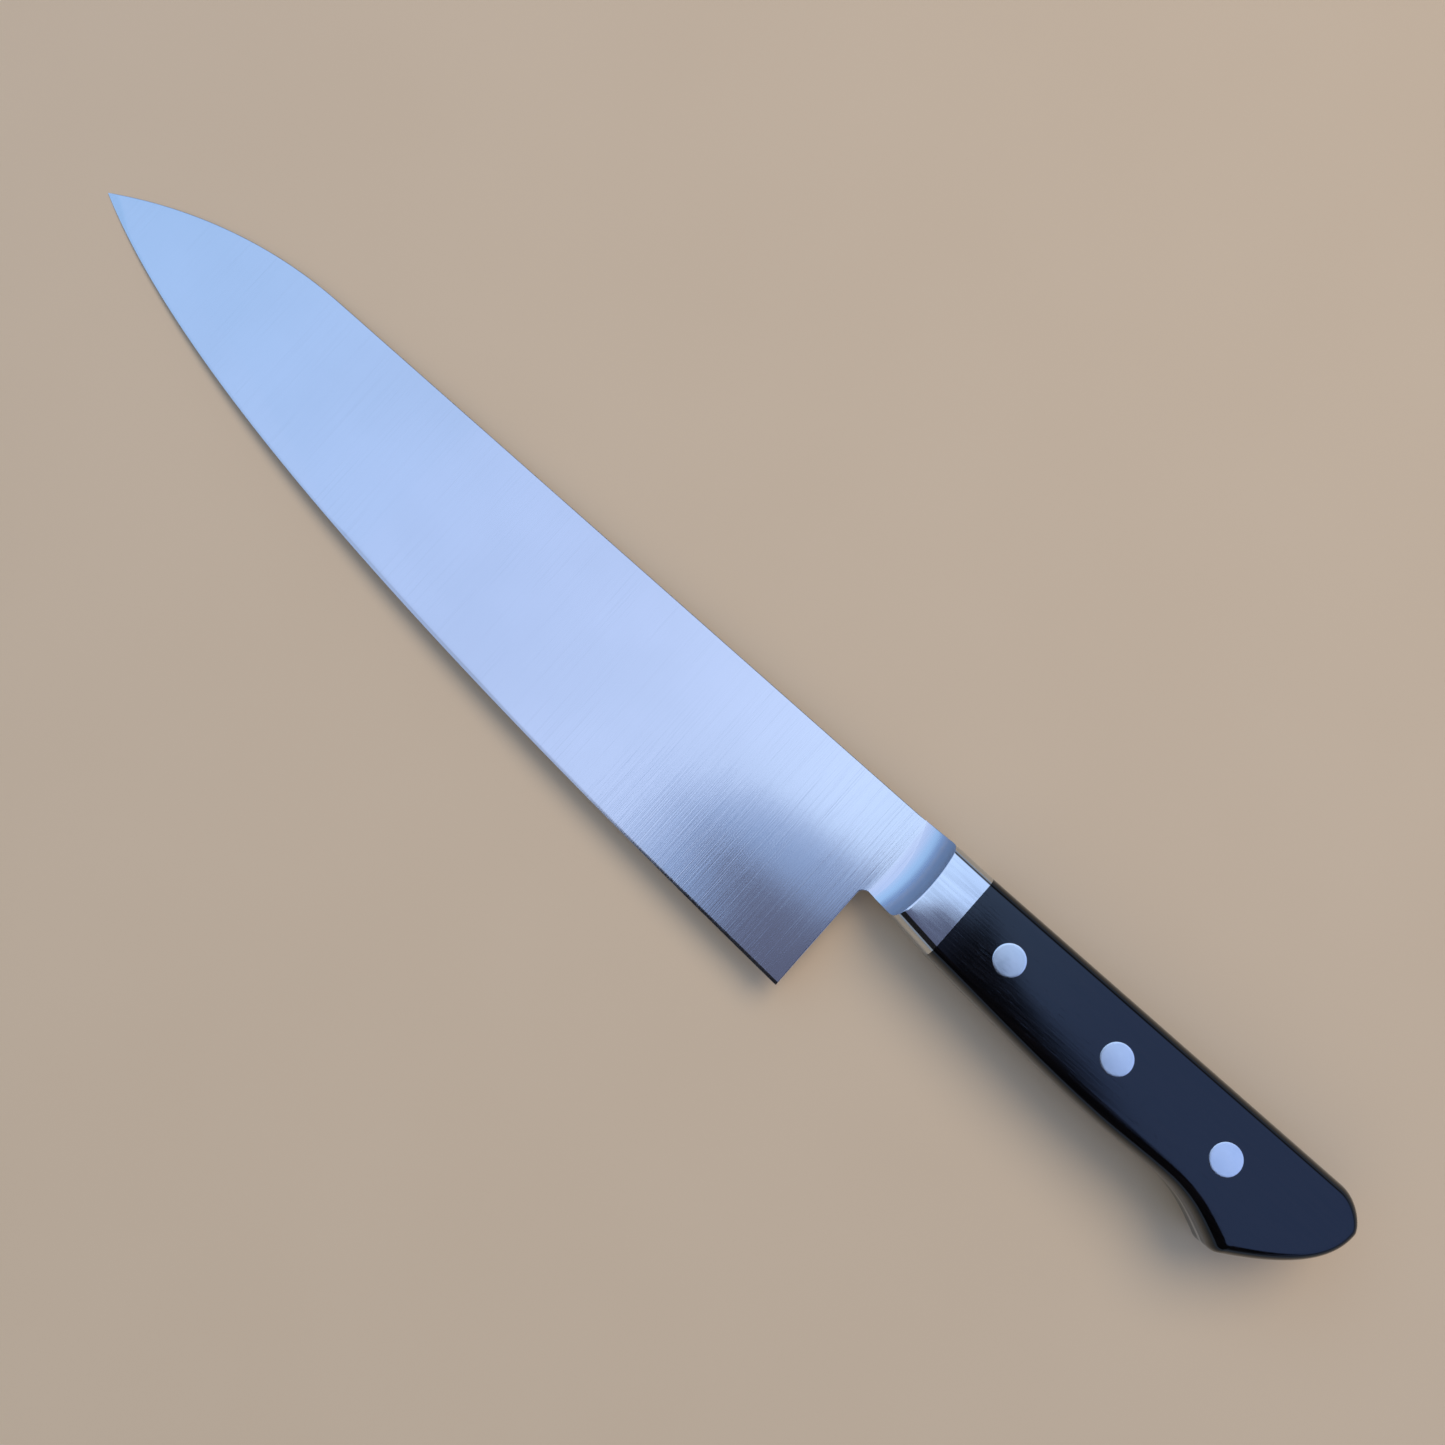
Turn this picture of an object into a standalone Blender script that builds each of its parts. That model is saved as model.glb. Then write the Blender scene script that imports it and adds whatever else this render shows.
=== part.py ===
"""A western-handled chef's knife, lying on its right side with the left face up.

+X runs along the spine from the tip to the butt, +Y from the edge to the spine, and +Z out of the
left face. The origin is under the middle of the knife, on the plane that it lies on.
"""

import math

import bmesh
import bpy
from mathutils import Vector
from mathutils.geometry import interpolate_bezier

MM = 0.001

# Blade, all heights measured down from the straight spine
BLADE_LENGTH = 238.2 * MM  # tip to heel, along the spine
BLADE_HEIGHT = 49.4 * MM  # spine to heel corner
BLADE_THICKNESS = 2.2 * MM  # at the spine over the heel, and all along the tang
POINT_THICKNESS = 0.5 * MM  # at the spine, close to the tip
EDGE_THICKNESS = 0.2 * MM  # flat left along the cutting edge
FLAT_LENGTH = 136 * MM  # how far the ground flats reach ahead of the heel
FLAT_END_THICKNESS = 1.9 * MM  # at the spine, where the flats end
POINT_RUN = 59 * MM  # length over which the spine curves down to the tip
POINT_DROP = 16.7 * MM  # tip below the spine
POINT_HOLLOW = 0.2  # how much steeper the faces fall at the tip than at the heel
EDGE_ANGLE_HEEL = math.radians(2.2)  # between the edge and the spine
EDGE_ANGLE_TIP = math.radians(25)
EDGE_PULL_HEEL = 0.54  # fullness of the edge curve at each end, against the blade's length
EDGE_PULL_TIP = 0.18

# Choil, neck and bolster
HEEL_TO_SEAM = 19.8 * MM  # heel corner to the seam between bolster and scales
CHOIL_RADIUS = 2.1 * MM
NECK_HEIGHT = 20.4 * MM  # spine to the underside, behind the choil
CREST_TO_SEAM = 9.5 * MM  # length of the bolster's flat land
RAMP_ANGLE = math.radians(82.7)  # how far the hollow ramp turns up, from the blade's face to the crest
CREST_RADIUS = 44 * MM  # the crest bows towards the handle, seen from the side
TOE_HEIGHT = 0.9 * MM  # thickness of the bolster where it meets the blade

# Handle
SCALE_LENGTH = 106.2 * MM
HANDLE_THICKNESS = 18.6 * MM
SEAM_STEP = 0.3 * MM  # handle's top below the blade's spine, at the seam
SEAM_HEIGHT = 21.9 * MM  # spine to the handle's underside, at the seam
BELLY_HEIGHT = 24.9 * MM
WAIST_HEIGHT = 24.3 * MM
BEAK_HEIGHT = 28.0 * MM
BELLY_FROM_SEAM = 49 * MM
BUTT_TO_WAIST = 38 * MM
BUTT_TO_BEAK = 18 * MM
BEAK_WIDTH = 4.2 * MM
CORNER_RUN = 8.4 * MM  # length over which the top turns down into the butt
BUTT_DROP = 6.5 * MM  # rearmost point below the spine
BEAK_HOOK = 0.12  # how far the beak hangs below BEAK_HEIGHT, against its width
BACK_SLOPE = math.radians(31.5)  # between the butt's underside, at the beak, and the spine

# Rounding of the handle's sides: how far the flats stay inside the outline, on an oval of this power
SPINE_ROLL = 1.9 * MM
BELLY_ROLL = 3.4 * MM
BUTT_ROLL = 2.2 * MM
ROLL_POWER = 2.3

# Two-part rivets
RIVET_COUNT = 3
RIVET_FROM_SEAM = 13.6 * MM
RIVET_SPACING = 30.7 * MM
RIVET_DROP = 11.6 * MM  # first rivet below the spine
RIVET_FALL = 0.55 * MM  # each further rivet sits lower by this
HEAD_DIAMETER = 7.8 * MM
HEAD_DEPTH = 2.0 * MM
SLEEVE_DIAMETER = 5.6 * MM
PIN_DIAMETER = 3.2 * MM
SLEEVE_FLOOR = 1.6 * MM  # solid metal left under the bore, above the head

CLEARANCE = 0.3 * MM

# Values that follow from the ones above
OVERALL_LENGTH = BLADE_LENGTH + HEEL_TO_SEAM + SCALE_LENGTH
TIP_X = -OVERALL_LENGTH / 2
HEEL_X = TIP_X + BLADE_LENGTH
SEAM_X = HEEL_X + HEEL_TO_SEAM
BUTT_X = SEAM_X + SCALE_LENGTH
CREST_X = SEAM_X - CREST_TO_SEAM
FLAT_END_X = HEEL_X - FLAT_LENGTH
SPINE_Y = BLADE_HEIGHT / 2
HEEL_Y = SPINE_Y - BLADE_HEIGHT
HALF_BLADE = BLADE_THICKNESS / 2
HALF_EDGE = EDGE_THICKNESS / 2
HALF_HANDLE = HANDLE_THICKNESS / 2
MID_Z = HALF_HANDLE
# The ramp is a round arc, tangent to the blade's face at RAMP_X.
RAMP_RADIUS = (HALF_HANDLE - HALF_BLADE) / (1 - math.cos(RAMP_ANGLE))
RAMP_X = CREST_X - RAMP_RADIUS * math.sin(RAMP_ANGLE)
SEAT = HALF_BLADE + CLEARANCE  # inner faces of the scales and bolster halves, off the mid plane
# The toe stands where the ramp reaches TOE_HEIGHT.
TOE_X = RAMP_X + math.sqrt(RAMP_RADIUS**2 - (RAMP_RADIUS - TOE_HEIGHT - CLEARANCE) ** 2)
ROLL_STEPS = 6
ROUND_STEPS = 40


def curve(start, start_pull, end_pull, end, steps):
    """Points of a smooth curve, without its last one, so that curves can be chained."""
    return [p.to_2d() for p in interpolate_bezier(start, start_pull, end_pull, end, steps + 1)][:-1]


def direction(angle):
    return Vector((math.cos(angle), math.sin(angle)))


def spine_drop(x):
    """How far the spine lies below its straight line, on a round arc down to the tip."""
    radius = (POINT_RUN**2 + POINT_DROP**2) / (2 * POINT_DROP)
    ahead = max(TIP_X + POINT_RUN - x, 0)
    return radius - math.sqrt(radius**2 - ahead**2)


def edge_points(steps=30):
    """The cutting edge, from the tip to just before the heel corner."""
    tip = Vector((TIP_X, SPINE_Y - POINT_DROP))
    heel = Vector((HEEL_X, HEEL_Y))
    tip_pull = tip + direction(-EDGE_ANGLE_TIP) * EDGE_PULL_TIP * BLADE_LENGTH
    heel_pull = heel - direction(-EDGE_ANGLE_HEEL) * EDGE_PULL_HEEL * BLADE_LENGTH
    return curve(tip, tip_pull, heel_pull, heel, steps)


def choil_points(steps=8):
    """The inside corner between the heel's back edge and the neck."""
    centre = Vector((HEEL_X + CHOIL_RADIUS, SPINE_Y - NECK_HEIGHT - CHOIL_RADIUS))
    angles = [math.pi * (1 - i / (2 * steps)) for i in range(steps + 1)]
    return [centre + direction(angle) * CHOIL_RADIUS for angle in angles]


def spine_points(steps=20):
    """The spine, from its straight stretch forward to just before the tip."""
    ahead = [POINT_RUN * i / steps for i in range(steps)]
    xs = [TIP_X + POINT_RUN - a for a in ahead]
    return [Vector((x, SPINE_Y - spine_drop(x))) for x in xs]


def neck_edges(x):
    """(top, underside) of the neck and bolster at x, at the mid plane."""
    start = HEEL_X + CHOIL_RADIUS
    along = (x - start) / (SEAM_X - start)
    return SPINE_Y - SEAM_STEP * along, SPINE_Y - NECK_HEIGHT - (SEAM_HEIGHT - NECK_HEIGHT) * along


def handle_points(roll, seam_x=SEAM_X):
    """The handle's outline from the seam's top, round the butt and beak, to the seam's underside.

    roll is 0 at the mid plane, where the outline is widest, and 1 on the flat sides. Each stretch is
    one smooth curve, and its pulls are shares of the stretch's own run and fall.
    """
    right, up = Vector((1, 0)), Vector((0, 1))
    spine, belly, butt = SPINE_ROLL * roll, BELLY_ROLL * roll, BUTT_ROLL * roll
    beak_x = BUTT_X - BUTT_TO_BEAK
    beak_y = SPINE_Y - BEAK_HEIGHT
    beak_width = BEAK_WIDTH * (1 - 0.3 * roll)
    seam_top = Vector((seam_x, SPINE_Y - SEAM_STEP - spine))
    top_end = Vector((BUTT_X - CORNER_RUN - butt / 2, SPINE_Y - spine))
    rear = Vector((BUTT_X - butt, SPINE_Y - BUTT_DROP))
    beak_rear = Vector((beak_x - butt / 3, beak_y + 0.85 * belly))
    beak_front = Vector((beak_x - beak_width, beak_y - BEAK_HOOK * BEAK_WIDTH + belly))
    waist = Vector((BUTT_X - BUTT_TO_WAIST, SPINE_Y - WAIST_HEIGHT + belly))
    fullest = Vector((SEAM_X + BELLY_FROM_SEAM, SPINE_Y - BELLY_HEIGHT + belly))
    seam_under = Vector((seam_x, SPINE_Y - SEAM_HEIGHT + belly))

    corner, back, rise = rear - top_end, beak_rear - rear, waist - beak_front
    dip, front = fullest - waist, seam_under - fullest
    slope = direction(BACK_SLOPE) * BUTT_TO_BEAK
    hook = Vector((0.45, -0.3)) * BEAK_WIDTH
    lift = rise * 0.3 + up * rise.y * 0.2
    stretches = (
        (top_end, top_end + right * corner.x * 0.55, rear - up * corner.y * 0.3, rear, 8),
        (rear, rear + up * back.y * 0.37, beak_rear + slope * 0.7, beak_rear, 10),
        (beak_rear, beak_rear - slope * 0.08, beak_front + hook, beak_front, 6),
        (beak_front, beak_front + lift, waist - right * rise.x * 0.45, waist, 8),
        (waist, waist + right * dip.x * 0.35, fullest - right * dip.x * 0.35, fullest, 4),
        (fullest, fullest + right * front.x * 0.35, seam_under - front * 0.3, seam_under, 8),
    )
    points = [seam_top]
    for stretch in stretches:
        points += curve(*stretch)
    return points + [seam_under]


def roll_angles():
    """Angles up the handle's rounded side, from the inner face to the flat."""
    first = math.asin((SEAT / HALF_HANDLE) ** (ROLL_POWER / 2))
    return [first + (math.pi / 2 - first) * i / ROLL_STEPS for i in range(ROLL_STEPS + 1)]


def roll_at(angle):
    """(share of the roll, height off the mid plane) at this angle up the rounded side."""
    across = max(math.cos(angle), 0) ** (2 / ROLL_POWER)
    return 1 - across, HALF_HANDLE * math.sin(angle) ** (2 / ROLL_POWER)


def rivet_sites():
    """(x, y) of each rivet, from the front to the butt."""
    for i in range(RIVET_COUNT):
        yield SEAM_X + RIVET_FROM_SEAM + i * RIVET_SPACING, SPINE_Y - RIVET_DROP - i * RIVET_FALL


def half_thickness(x, y):
    """Half the blank's thickness: flat-ground ahead of the neck, thinner to the tip, even in the tang."""
    if x > CREST_X - CLEARANCE:
        return HALF_BLADE
    fall = (HALF_BLADE - HALF_EDGE) / BLADE_HEIGHT
    taper = (HALF_BLADE - FLAT_END_THICKNESS / 2) / FLAT_LENGTH
    if x >= FLAT_END_X - 1e-6:
        return HALF_BLADE - fall * (SPINE_Y - y) + taper * (x - HEEL_X)
    ahead = (FLAT_END_X - x) / (FLAT_END_X - TIP_X)
    spine = FLAT_END_THICKNESS / 2 + (POINT_THICKNESS / 2 - FLAT_END_THICKNESS / 2) * ahead
    drop = SPINE_Y - spine_drop(x) - y
    return max(spine - fall * drop * (1 + ahead * POINT_HOLLOW), HALF_EDGE)


def material(name, colour, roughness, metallic):
    made = bpy.data.materials.new(name)
    made.use_nodes = True
    shader = made.node_tree.nodes["Principled BSDF"]
    shader.inputs["Base Color"].default_value = (*colour, 1)
    shader.inputs["Roughness"].default_value = roughness
    shader.inputs["Metallic"].default_value = metallic
    made.diffuse_color = (*colour, 1)
    return made


def add_object(name, mesh_builder, made_material):
    """A scene object from a filled bmesh, with outward faces and smooth rounds."""
    mesh_builder.normal_update()
    bmesh.ops.recalc_face_normals(mesh_builder, faces=mesh_builder.faces)
    mesh = bpy.data.meshes.new(name)
    mesh_builder.to_mesh(mesh)
    mesh_builder.free()
    mesh.shade_smooth()
    mesh.set_sharp_from_angle(angle=math.radians(30))
    mesh.materials.append(made_material)
    made = bpy.data.objects.new(name, mesh)
    bpy.context.scene.collection.objects.link(made)
    return made


def loft(rings):
    """A closed body through rings of equally many points, each ring a list of (x, y, z)."""
    builder = bmesh.new()
    loops = [[builder.verts.new(point) for point in ring] for ring in rings]
    for lower, upper in zip(loops, loops[1:]):
        for i in range(len(lower)):
            builder.faces.new((lower[i - 1], lower[i], upper[i], upper[i - 1]))
    builder.faces.new(loops[0])
    builder.faces.new(loops[-1])
    return builder


def turned(profile):
    """A closed body turned about +Z from (radius, z) points that start and end on the axis."""
    builder = bmesh.new()
    verts = [builder.verts.new((radius, 0, z)) for radius, z in profile]
    edges = [builder.edges.new(pair) for pair in zip(verts, verts[1:])]
    bmesh.ops.spin(
        builder,
        geom=verts + edges,
        axis=(0, 0, 1),
        cent=(0, 0, 0),
        angle=math.tau,
        steps=ROUND_STEPS,
        use_duplicate=False,
    )
    bmesh.ops.remove_doubles(builder, verts=builder.verts, dist=1e-6)
    return builder


def cut(target, cutter, name):
    """Takes the cutter's shape out of the target."""
    cutter.hide_render = True
    cutter.display_type = "WIRE"
    boolean = target.modifiers.new(name, "BOOLEAN")
    boolean.operation = "DIFFERENCE"
    boolean.solver = "EXACT"
    boolean.object = cutter


def make_blade(steel):
    """Blade, neck and full tang, ground from one blank."""
    outline = edge_points() + [Vector((HEEL_X, HEEL_Y))] + choil_points()
    outline += handle_points(0)[::-1] + [Vector((CREST_X, neck_edges(CREST_X)[0]))]
    outline += [Vector((HEEL_X + CHOIL_RADIUS, SPINE_Y)), Vector((FLAT_END_X, SPINE_Y))]
    outline += spine_points()
    builder = bmesh.new()
    ring = [builder.verts.new((*point, 0)) for point in outline]
    builder.faces.new(ring)
    for x in (FLAT_END_X, TOE_X, CREST_X):
        whole = [*builder.verts, *builder.edges, *builder.faces]
        bmesh.ops.bisect_plane(builder, geom=whole, plane_co=(x, 0, 0), plane_no=(1, 0, 0))
    bmesh.ops.triangulate(builder, faces=builder.faces)
    lower = list(builder.verts)
    extruded = bmesh.ops.extrude_face_region(builder, geom=builder.faces)["geom"]
    for vert in lower:
        vert.co.z = MID_Z - half_thickness(vert.co.x, vert.co.y)
    for vert in (item for item in extruded if isinstance(item, bmesh.types.BMVert)):
        vert.co.z = MID_Z + half_thickness(vert.co.x, vert.co.y)
    return add_object("blade", builder, steel)


def make_scale(name, side, wood):
    """One handle scale: flat outside and inside, with rounded long sides."""
    rings = []
    for angle in roll_angles():
        roll, height = roll_at(angle)
        points = handle_points(roll, SEAM_X + CLEARANCE / 2)
        rings.append([(*point, MID_Z + side * height) for point in points])
    return add_object(name, loft(rings), wood)


def bolster_ring(x, side):
    """The bolster's section at x: up the rounded underside, across the flat and down the spine side."""
    top, under = neck_edges(x)
    rolls = [roll_at(angle) for angle in roll_angles()]
    belly = [(under + BELLY_ROLL * roll, height) for roll, height in rolls]
    spine = [(top - SPINE_ROLL * roll, height) for roll, height in reversed(rolls)]
    return [(x, y, MID_Z + side * height) for y, height in belly + spine]


def make_bolster(name, side, steel):
    """One bolster half: a block with the handle's section, hollowed at the front into a ramp."""
    rings = [bolster_ring(x, side) for x in (TOE_X, SEAM_X - CLEARANCE / 2)]
    block = add_object(name, loft(rings), steel)
    bow = CREST_RADIUS - RAMP_RADIUS
    mid_y = sum(neck_edges(CREST_X)) / 2 + (BELLY_ROLL - SPINE_ROLL) / 2
    bpy.ops.mesh.primitive_torus_add(
        major_segments=144,
        minor_segments=72,
        major_radius=bow,
        minor_radius=RAMP_RADIUS,
        location=(RAMP_X - bow, mid_y, MID_Z + side * (HALF_BLADE + RAMP_RADIUS)),
    )
    wheel = bpy.context.object
    wheel.name = name + "_ramp_cutter"
    cut(block, wheel, "Ramp")
    return block


def stepped_hole(name, x, y):
    """The cutter for one rivet: a hole through both scales and the tang, wider for the two heads."""
    head = HEAD_DIAMETER / 2 + CLEARANCE
    sleeve = SLEEVE_DIAMETER / 2 + CLEARANCE
    ledge = HEAD_DEPTH + CLEARANCE
    profile = [
        (0, HANDLE_THICKNESS + MM),
        (head, HANDLE_THICKNESS + MM),
        (head, HANDLE_THICKNESS - ledge),
        (sleeve, HANDLE_THICKNESS - ledge),
        (sleeve, ledge),
        (head, ledge),
        (head, -MM),
        (0, -MM),
    ]
    hole = add_object(name, turned(profile), bpy.data.materials["rivet_steel"])
    hole.location = (x, y, 0)
    return hole


def make_rivet(label, x, y, metal):
    """A sleeve half with its head on the right face, and a pin half with its head on the left."""
    head = HEAD_DIAMETER / 2
    sleeve = SLEEVE_DIAMETER / 2
    bore = PIN_DIAMETER / 2 + CLEARANCE
    pin = PIN_DIAMETER / 2
    floor = HEAD_DEPTH + SLEEVE_FLOOR
    under_head = HANDLE_THICKNESS - HEAD_DEPTH
    sleeve_end = under_head - CLEARANCE
    halves = {
        "sleeve": [(0, floor), (bore, floor), (bore, sleeve_end), (sleeve, sleeve_end)]
        + [(sleeve, HEAD_DEPTH), (head, HEAD_DEPTH), (head, 0), (0, 0)],
        "pin": [(0, HANDLE_THICKNESS), (head, HANDLE_THICKNESS), (head, under_head)]
        + [(pin, under_head), (pin, floor + CLEARANCE), (0, floor + CLEARANCE)],
    }
    for half, profile in halves.items():
        made = add_object(f"{label}_rivet_{half}", turned(profile), metal)
        made.location = (x, y, 0)


def build():
    for old in list(bpy.data.objects):
        bpy.data.objects.remove(old)
    blade_steel = material("satin_blade_steel", (0.62, 0.65, 0.70), 0.28, 1.0)
    bolster_steel = material("polished_bolster_steel", (0.66, 0.67, 0.70), 0.12, 1.0)
    rivet_steel = material("rivet_steel", (0.68, 0.70, 0.74), 0.3, 1.0)
    black_wood = material("black_laminated_wood", (0.012, 0.012, 0.016), 0.32, 0.0)

    blade = make_blade(blade_steel)
    sides = {"left": 1, "right": -1}
    scales = [make_scale(f"scale_{label}", side, black_wood) for label, side in sides.items()]
    for label, side in sides.items():
        make_bolster(f"bolster_{label}", side, bolster_steel)
    for label, (x, y) in zip(("front", "middle", "rear"), rivet_sites()):
        hole = stepped_hole(f"{label}_rivet_hole", x, y)
        for drilled in (blade, *scales):
            cut(drilled, hole, f"{label} rivet")
        make_rivet(label, x, y, rivet_steel)


build()
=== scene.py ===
"""The looks of a western-handled chef's knife: ground blade, ramped bolster, black riveted handle.

The knife lies on its right side: +X from tip to butt, +Y from edge to spine, +Z out of the left face.
"""

import math

import bmesh
import bpy
import numpy as np
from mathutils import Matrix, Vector
from mathutils.geometry import interpolate_bezier


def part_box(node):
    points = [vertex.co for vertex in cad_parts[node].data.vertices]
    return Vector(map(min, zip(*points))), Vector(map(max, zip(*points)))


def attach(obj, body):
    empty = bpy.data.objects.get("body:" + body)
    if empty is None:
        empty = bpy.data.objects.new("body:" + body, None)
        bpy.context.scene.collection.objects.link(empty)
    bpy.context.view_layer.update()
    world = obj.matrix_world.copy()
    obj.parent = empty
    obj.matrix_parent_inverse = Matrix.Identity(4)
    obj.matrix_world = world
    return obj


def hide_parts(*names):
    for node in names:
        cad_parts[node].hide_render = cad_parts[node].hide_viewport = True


MM = 0.001
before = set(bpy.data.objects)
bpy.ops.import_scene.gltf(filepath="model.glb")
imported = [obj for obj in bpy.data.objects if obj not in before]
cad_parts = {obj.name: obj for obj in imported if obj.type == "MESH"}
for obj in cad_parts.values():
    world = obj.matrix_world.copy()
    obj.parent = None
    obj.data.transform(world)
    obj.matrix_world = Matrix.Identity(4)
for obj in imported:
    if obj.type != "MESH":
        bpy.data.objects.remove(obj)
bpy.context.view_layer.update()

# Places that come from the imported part
blade_low, blade_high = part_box("blade")
scale_low, scale_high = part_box("scale_left")
right_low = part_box("scale_right")[0]
TIP_X = blade_low.x
BUTT_X = blade_high.x
SPINE_Y = blade_high.y
HEEL_Y = blade_low.y
MID_Z = (right_low.z + scale_high.z) / 2
HALF_HANDLE = (scale_high.z - right_low.z) / 2
SEAM_X = scale_low.x - 0.15 * MM

# Blade
BLADE_LENGTH = 238.2 * MM
HALF_BLADE = 1.1 * MM
HALF_POINT = 0.25 * MM
HALF_FLAT_END = 0.95 * MM
FLAT_LENGTH = 136 * MM
POINT_RUN = 59 * MM
POINT_DROP = 16.7 * MM
EDGE_ANGLE_HEEL = math.radians(2.2)
EDGE_ANGLE_TIP = math.radians(25)
HEEL_X = TIP_X + BLADE_LENGTH
FLAT_END_X = HEEL_X - FLAT_LENGTH
CHOIL_RADIUS = 2.1 * MM
NECK_HEIGHT = 20.4 * MM
CHOIL_Y = SPINE_Y - NECK_HEIGHT - CHOIL_RADIUS
SHARPENED = 0.75 * MM  # height of the sharpened bevel above the cutting edge
SWELL_START = 6 * MM  # ahead of the heel, where the faces begin to swell
SWELL_RUN = 30 * MM
SPINE_TURN = 112 * MM  # near the radius of the spine's arc at the point

# Bolster
CREST_TO_SEAM = 9.5 * MM
CREST_RADIUS = 44 * MM
CREST_X = SEAM_X - CREST_TO_SEAM
RAMP_LENGTH = 9.6 * MM
RAMP_HEIGHT = 11 * MM
RAMP_POWER = 2.7
CREST_SHARE = (1 - (1 - (HALF_HANDLE - HALF_BLADE) / RAMP_HEIGHT) ** RAMP_POWER) ** (1 / RAMP_POWER)
RAMP_X = CREST_X - RAMP_LENGTH * CREST_SHARE
RAMP_FADE = 3 * MM  # length behind the heel over which the ramp comes in
FOOT_FADE = 4 * MM  # length over which the spine's rounding runs out at the ramp's foot

# Handle
SEAM_STEP = 0.3 * MM
SEAM_HEIGHT = 22.4 * MM
BELLY_HEIGHT = 24.9 * MM
WAIST_HEIGHT = 24.3 * MM
BEAK_HEIGHT = 28.0 * MM
BELLY_FROM_SEAM = 49 * MM
BUTT_TO_WAIST = 38 * MM
BUTT_TO_BEAK = 18 * MM
BEAK_WIDTH = 4.2 * MM
BEAK_HOOK = 0.12
BACK_SLOPE = math.radians(31.5)
CORNER_RUN = 8.4 * MM
BUTT_DROP = 6.5 * MM
SPINE_ROLL = 2.8 * MM
BELLY_ROLL = 3.2 * MM
BUTT_ROLL = 2.4 * MM
ROLL_DEPTH = 5 * MM
ROLL_POWER = 2.4
CROWN = 0.04 * MM  # how far the handle's faces swell between the bolster and the butt
HAIRLINE = 0.03 * MM  # joint between wood and steel

# Rivets
RIVET_COUNT = 3
RIVET_FROM_SEAM = 13.6 * MM
RIVET_SPACING = 30.7 * MM
RIVET_DROP = 11.6 * MM
RIVET_FALL = 0.55 * MM
HEAD_DIAMETER = 7.8 * MM
HEAD_DEPTH = 2.0 * MM
HEAD_TRIM = 0.12 * MM  # polished off the radius of each head


class Wire:
    """A node socket that Python arithmetic can be done on, in a shader tree or a geometry tree."""

    def __init__(self, tree, socket=None):
        self.tree = tree
        self.socket = socket

    def node(self, kind, settings=None, inputs=None, output=0):
        """A node of this kind: its settings first, then its sockets, and a Wire on one of its outputs."""
        made = self.tree.nodes.new(kind)
        for name, value in (settings or {}).items():
            if name == "stops":
                ramp = made.color_ramp.elements
                while len(ramp) < len(value):
                    ramp.new(1)
                for element, (place, colour) in zip(ramp, value):
                    element.position = place
                    element.color = (*colour, 1)
            else:
                setattr(made, name, value)
        for name, value in (inputs or {}).items():
            if isinstance(value, Wire):
                self.tree.links.new(value.socket, made.inputs[name])
            else:
                made.inputs[name].default_value = value
        return Wire(self.tree, made.outputs[output])

    def math(self, operation, *terms):
        return self.node("ShaderNodeMath", {"operation": operation}, dict(enumerate((self, *terms))))

    def __add__(self, other):
        return self.math("ADD", other)

    __radd__ = __add__

    def __sub__(self, other):
        return self.math("SUBTRACT", other)

    def __rsub__(self, other):
        return (self * -1) + other

    def __mul__(self, other):
        return self.math("MULTIPLY", other)

    __rmul__ = __mul__

    def __truediv__(self, other):
        return self.math("DIVIDE", other)

    def __pow__(self, other):
        return self.math("POWER", other)

    def at_least(self, other):
        return self.math("MAXIMUM", other)

    def at_most(self, other):
        return self.math("MINIMUM", other)

    def between(self, low, high, start=0.0, end=1.0, shape="SMOOTHSTEP"):
        """This value's way from low to high, as a share between start and end."""
        ends = {"Value": self, "From Min": low, "From Max": high, "To Min": start, "To Max": end}
        return self.node("ShaderNodeMapRange", {"interpolation_type": shape}, ends)


def mix(tree, share, first, second):
    """A colour between two others."""
    return Wire(tree).node(
        "ShaderNodeMix", {"data_type": "RGBA"}, {0: share, 6: first, 7: second}, output=2
    )


def noise(tree, place, size, detail=3.0, roughness=0.5):
    """Noise whose features are size = (x, y, z) long, in metres."""
    stretched = Wire(tree).node(
        "ShaderNodeMapping", {"vector_type": "POINT"}, {"Vector": place, "Scale": [1 / s for s in size]}
    )
    sockets = {"Vector": stretched, "Scale": 1.0, "Detail": detail, "Roughness": roughness}
    return Wire(tree).node("ShaderNodeTexNoise", {}, sockets)


def new_material(name):
    """(material, its node tree, its shader node, the object coordinates)"""
    made = bpy.data.materials.new(name)
    made.use_nodes = True
    tree = made.node_tree
    place = Wire(tree).node("ShaderNodeTexCoord", output=3)
    return made, tree, tree.nodes["Principled BSDF"], place


def feed(tree, shader, **sockets):
    """Sets or links the shader's sockets, by their names with spaces as underscores."""
    for name, value in sockets.items():
        socket = shader.inputs[name.replace("_", " ")]
        if isinstance(value, Wire):
            tree.links.new(value.socket, socket)
        else:
            socket.default_value = value


def bump(tree, height, depth, under=None):
    """A normal from this height, whose whole range is depth metres."""
    sockets = {"Height": height, "Distance": depth, "Strength": 1.0}
    if under:
        sockets["Normal"] = under
    return Wire(tree).node("ShaderNodeBump", {}, sockets)


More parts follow.
